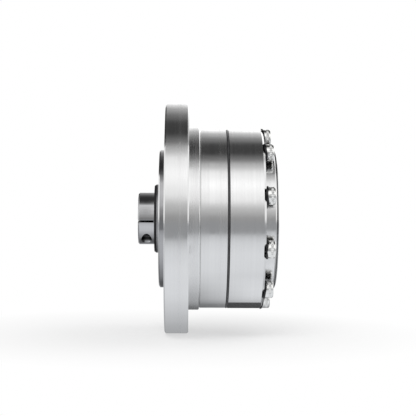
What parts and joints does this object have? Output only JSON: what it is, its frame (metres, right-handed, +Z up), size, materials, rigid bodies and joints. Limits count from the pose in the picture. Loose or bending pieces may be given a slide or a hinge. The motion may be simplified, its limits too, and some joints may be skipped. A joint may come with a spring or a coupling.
{
  "type": "strain wave gear",
  "caption": "Strain wave gear unit: clamp hub and oval wave generator on the input side, toothed cup driving a crossed-roller output flange, in a round body with a bolt-on flange.",
  "frame": {"origin": "on the axis, at the face of the mounting flange that the pilot stands on", "axes": "+X along the axis from the input side to the output side, +Z up, the front side towards -Y"},
  "size_m": [0.0551, 0.093, 0.093],
  "materials": {
    "turned_steel": "fine turned, bare",
    "ground_steel": "ground, satin",
    "bearing_steel": "polished",
    "screw_steel": "bright, knurled heads",
    "black_screw_steel": "black oxide",
    "spring_steel": "phosphated",
    "flexspline_steel": "fine ground",
    "black_rubber": "matt",
    "cage_plastic": "moulded"
  },
  "bodies": {
    "housing": {"motor_flange": "turned_steel", "circular_spline": "turned_steel", "flange_o_ring": "black_rubber", "body_o_ring": "black_rubber", "bearing_outer_ring": "turned_steel", "roller_filling_plug": "turned_steel", "filling_plug_pin": "bearing_steel", "housing_screws": "screw_steel", "lock_washers": "black_screw_steel", "output_oil_seal": "black_rubber", "input_oil_seal": "black_rubber", "input_bearing_outer_ring": "bearing_steel", "bearing_circlip": "spring_steel"},
    "input_shaft": {"input_hub": "ground_steel", "clamp_screw": "black_screw_steel", "input_bearing_inner_ring": "bearing_steel", "hub_circlip": "spring_steel", "wave_generator_plug": "ground_steel", "wave_generator_screws": "black_screw_steel", "wave_bearing_inner_race": "bearing_steel", "wave_bearing_balls": "bearing_steel", "wave_bearing_cage": "cage_plastic", "wave_bearing_outer_race": "bearing_steel"},
    "output": {"flexspline": "flexspline_steel", "flexspline_washer": "ground_steel", "flexspline_screws": "black_screw_steel", "output_ring": "turned_steel"},
    "roller_train": {"crossed_rollers": "bearing_steel", "roller_spacers": "cage_plastic"},
    "input_ball_train": {"input_bearing_balls": "bearing_steel", "input_bearing_cage": "cage_plastic"}
  },
  "joints": [
    {"name": "input_spin", "type": "hinge", "parent": "housing", "child": "input_shaft", "pos_m": [0, 0, 0], "axis": [1, 0, 0], "continuous": true, "deforming": ["flexspline"]},
    {"name": "output_spin", "type": "hinge", "parent": "housing", "child": "output", "pos_m": [0, 0, 0], "axis": [1, 0, 0], "continuous": true},
    {"name": "roller_orbit", "type": "hinge", "parent": "housing", "child": "roller_train", "pos_m": [0, 0, 0], "axis": [1, 0, 0], "continuous": true},
    {"name": "ball_orbit", "type": "hinge", "parent": "housing", "child": "input_ball_train", "pos_m": [0, 0, 0], "axis": [1, 0, 0], "continuous": true}
  ],
  "couplings": [
    {"joint": "output_spin", "follows": "input_spin", "ratio": -0.02},
    {"joint": "roller_orbit", "follows": "input_spin", "ratio": -0.009626},
    {"joint": "ball_orbit", "follows": "input_spin", "ratio": 0.43269}
  ]
}
